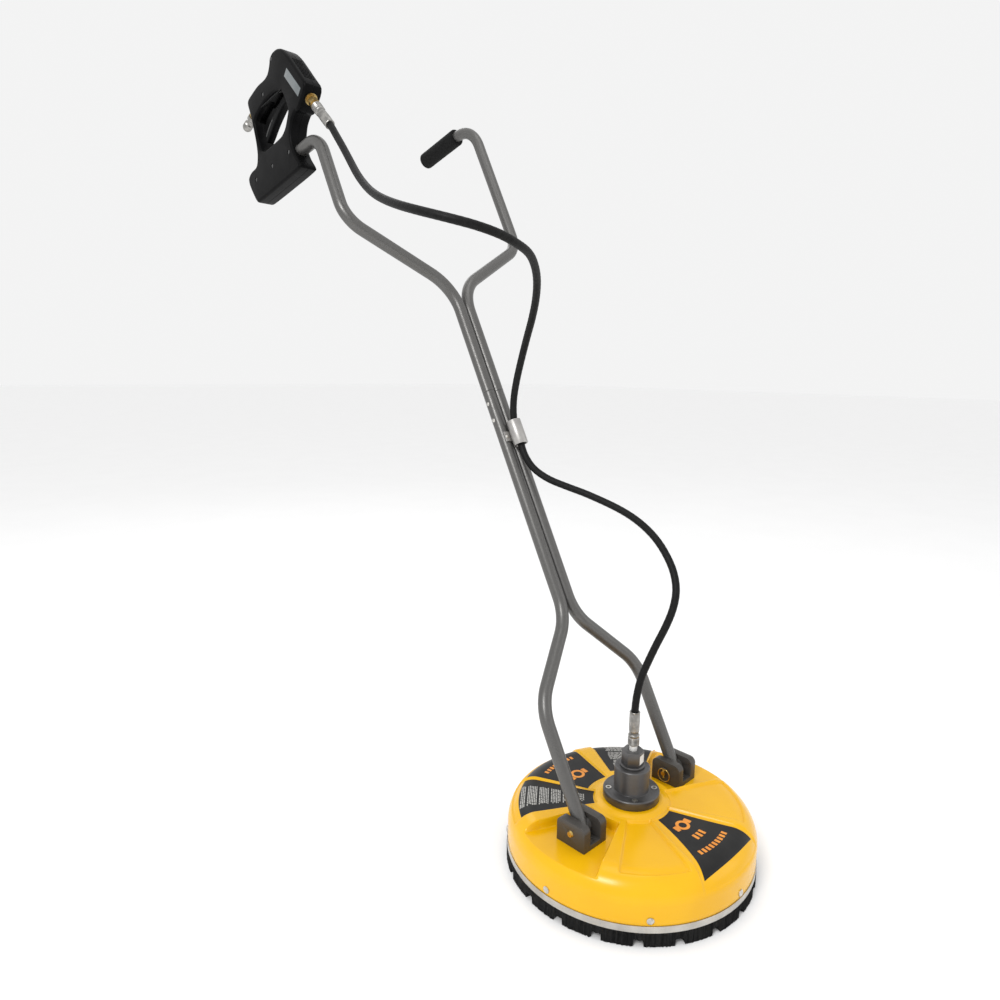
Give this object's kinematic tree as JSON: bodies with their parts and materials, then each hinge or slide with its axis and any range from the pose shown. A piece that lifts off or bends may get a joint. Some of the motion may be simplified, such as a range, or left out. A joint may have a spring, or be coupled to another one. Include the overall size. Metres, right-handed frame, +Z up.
{
  "type": "surface cleaner",
  "caption": "Round domed pressure-washer deck with a spinning spray bar, brush skirt, folding fork handle, foam grip and a trigger gun fed through a hose.",
  "frame": {"origin": "on the spray bar's axis, at the level of the ground the brush stands on", "axes": "+Z up, the machine's front is -Y, the handle leans back to +Y, the trigger gun is on the -X side"},
  "size_m": [0.5334, 1.0559, 1.3517],
  "materials": {
    "deck_yellow": "glossy moulded shell",
    "band_steel": "brushed band",
    "brush_black": "dense bristle",
    "holder_black": "moulded",
    "screw_zinc": "zinc plated",
    "clevis_paint": "satin paint",
    "swivel_dark": "satin black",
    "bearing_steel": "ground",
    "seal_rubber": "matte",
    "fitting_zinc": "bright zinc plated",
    "rotor_steel": "satin",
    "nozzle_brass": "machined",
    "tube_paint": "satin powder coat",
    "sleeve_metal": "satin",
    "foam_black": "foam",
    "plug_black": "moulded",
    "gun_black": "moulded",
    "trigger_black": "moulded",
    "lock_grey": "moulded",
    "fitting_brass": "machined",
    "hose_black": "fine textured cover"
  },
  "bodies": {
    "deck": {"deck_shell": "deck_yellow", "rim_band": "band_steel", "brush_skirt": "brush_black", "brush_holder": "holder_black", "rim_screws": "screw_zinc", "clevis_left": "clevis_paint", "clevis_right": "clevis_paint", "clevis_bolts": "screw_zinc", "clevis_pin_left": "screw_zinc", "clevis_pin_right": "screw_zinc", "linch_pin_left": "screw_zinc", "linch_pin_right": "screw_zinc", "swivel_gasket": "seal_rubber", "swivel_housing": "swivel_dark", "flange_bolts": "screw_zinc", "bearing_lower": "bearing_steel", "bearing_upper": "bearing_steel", "bearing_spacer": "bearing_steel", "retaining_ring": "bearing_steel", "pressure_seal": "seal_rubber", "swivel_collar": "swivel_dark", "inlet_adapter": "swivel_dark", "hose_stem_lower": "fitting_zinc", "hose_nut_lower": "fitting_zinc", "hose_ferrule_lower": "fitting_zinc"},
    "rotor": {"rotor_shaft": "rotor_steel", "rotor_hub": "rotor_steel", "spray_arm_front": "rotor_steel", "spray_arm_rear": "rotor_steel", "nozzle_front": "nozzle_brass", "nozzle_rear": "nozzle_brass"},
    "handle": {"pivot_eye_left": "tube_paint", "pivot_eye_right": "tube_paint", "lower_tube_left": "tube_paint", "lower_tube_right": "tube_paint", "joiners": "rotor_steel", "handle_screws": "screw_zinc", "upper_tube_left": "tube_paint", "upper_tube_right": "tube_paint", "foam_grip": "foam_black", "grip_plug": "plug_black", "hose_guide": "sleeve_metal", "gun_shell_left": "gun_black", "gun_shell_right": "gun_black", "gun_screws": "screw_zinc", "valve_block": "fitting_brass", "grip_pipe": "rotor_steel", "inlet_fitting": "fitting_brass", "quick_plug": "fitting_zinc", "outlet_fitting": "fitting_brass", "hose_nut_upper": "fitting_zinc", "hose_ferrule_upper": "fitting_zinc", "trigger_pin": "screw_zinc", "hose_upper": "hose_black", "hose_lower": "hose_black"},
    "trigger": {"trigger": "trigger_black"},
    "trigger_lock": {"trigger_lock": "lock_grey"},
    "valve_pin": {"valve_pin": "rotor_steel"},
    "linch_ring_left": {"linch_ring_left": "screw_zinc"},
    "linch_ring_right": {"linch_ring_right": "screw_zinc"}
  },
  "joints": [
    {"name": "handle_lean", "type": "hinge", "parent": "deck", "child": "handle", "pos_m": [0, 0, 0.109], "axis": [1, 0, 0], "range_deg": [-50, 30], "deforming": ["hose_lower"]},
    {"name": "rotor_spin", "type": "hinge", "parent": "deck", "child": "rotor", "pos_m": [0, 0, 0.053], "axis": [0, 0, 1], "continuous": true},
    {"name": "trigger_pull", "type": "hinge", "parent": "handle", "child": "trigger", "pos_m": [-0.204, 0.64542, 1.26535], "axis": [1, 0, 0], "range_deg": [0, 14], "stiffness_Nm_per_rad": 1.5, "springref_deg": -22.92},
    {"name": "lock_flip", "type": "hinge", "parent": "trigger", "child": "trigger_lock", "pos_m": [-0.204, 0.73786, 1.24111], "axis": [-1, 0, 0], "range_deg": [-75, 0]},
    {"name": "valve_pin_slide", "type": "slide", "parent": "handle", "child": "valve_pin", "axis": [0, -0.6691, 0.7431], "range_m": [0, 0.0019]},
    {"name": "linch_ring_left_swing", "type": "hinge", "parent": "deck", "child": "linch_ring_left", "pos_m": [-0.0955, 0, 0.1155], "axis": [0, 1, 0], "range_deg": [-150, 0]},
    {"name": "linch_ring_right_swing", "type": "hinge", "parent": "deck", "child": "linch_ring_right", "pos_m": [0.0955, 0, 0.1155], "axis": [0, 1, 0], "range_deg": [0, 150]}
  ],
  "couplings": [
    {"joint": "valve_pin_slide", "follows": "trigger_pull", "m_per_rad": 0.0077}
  ]
}
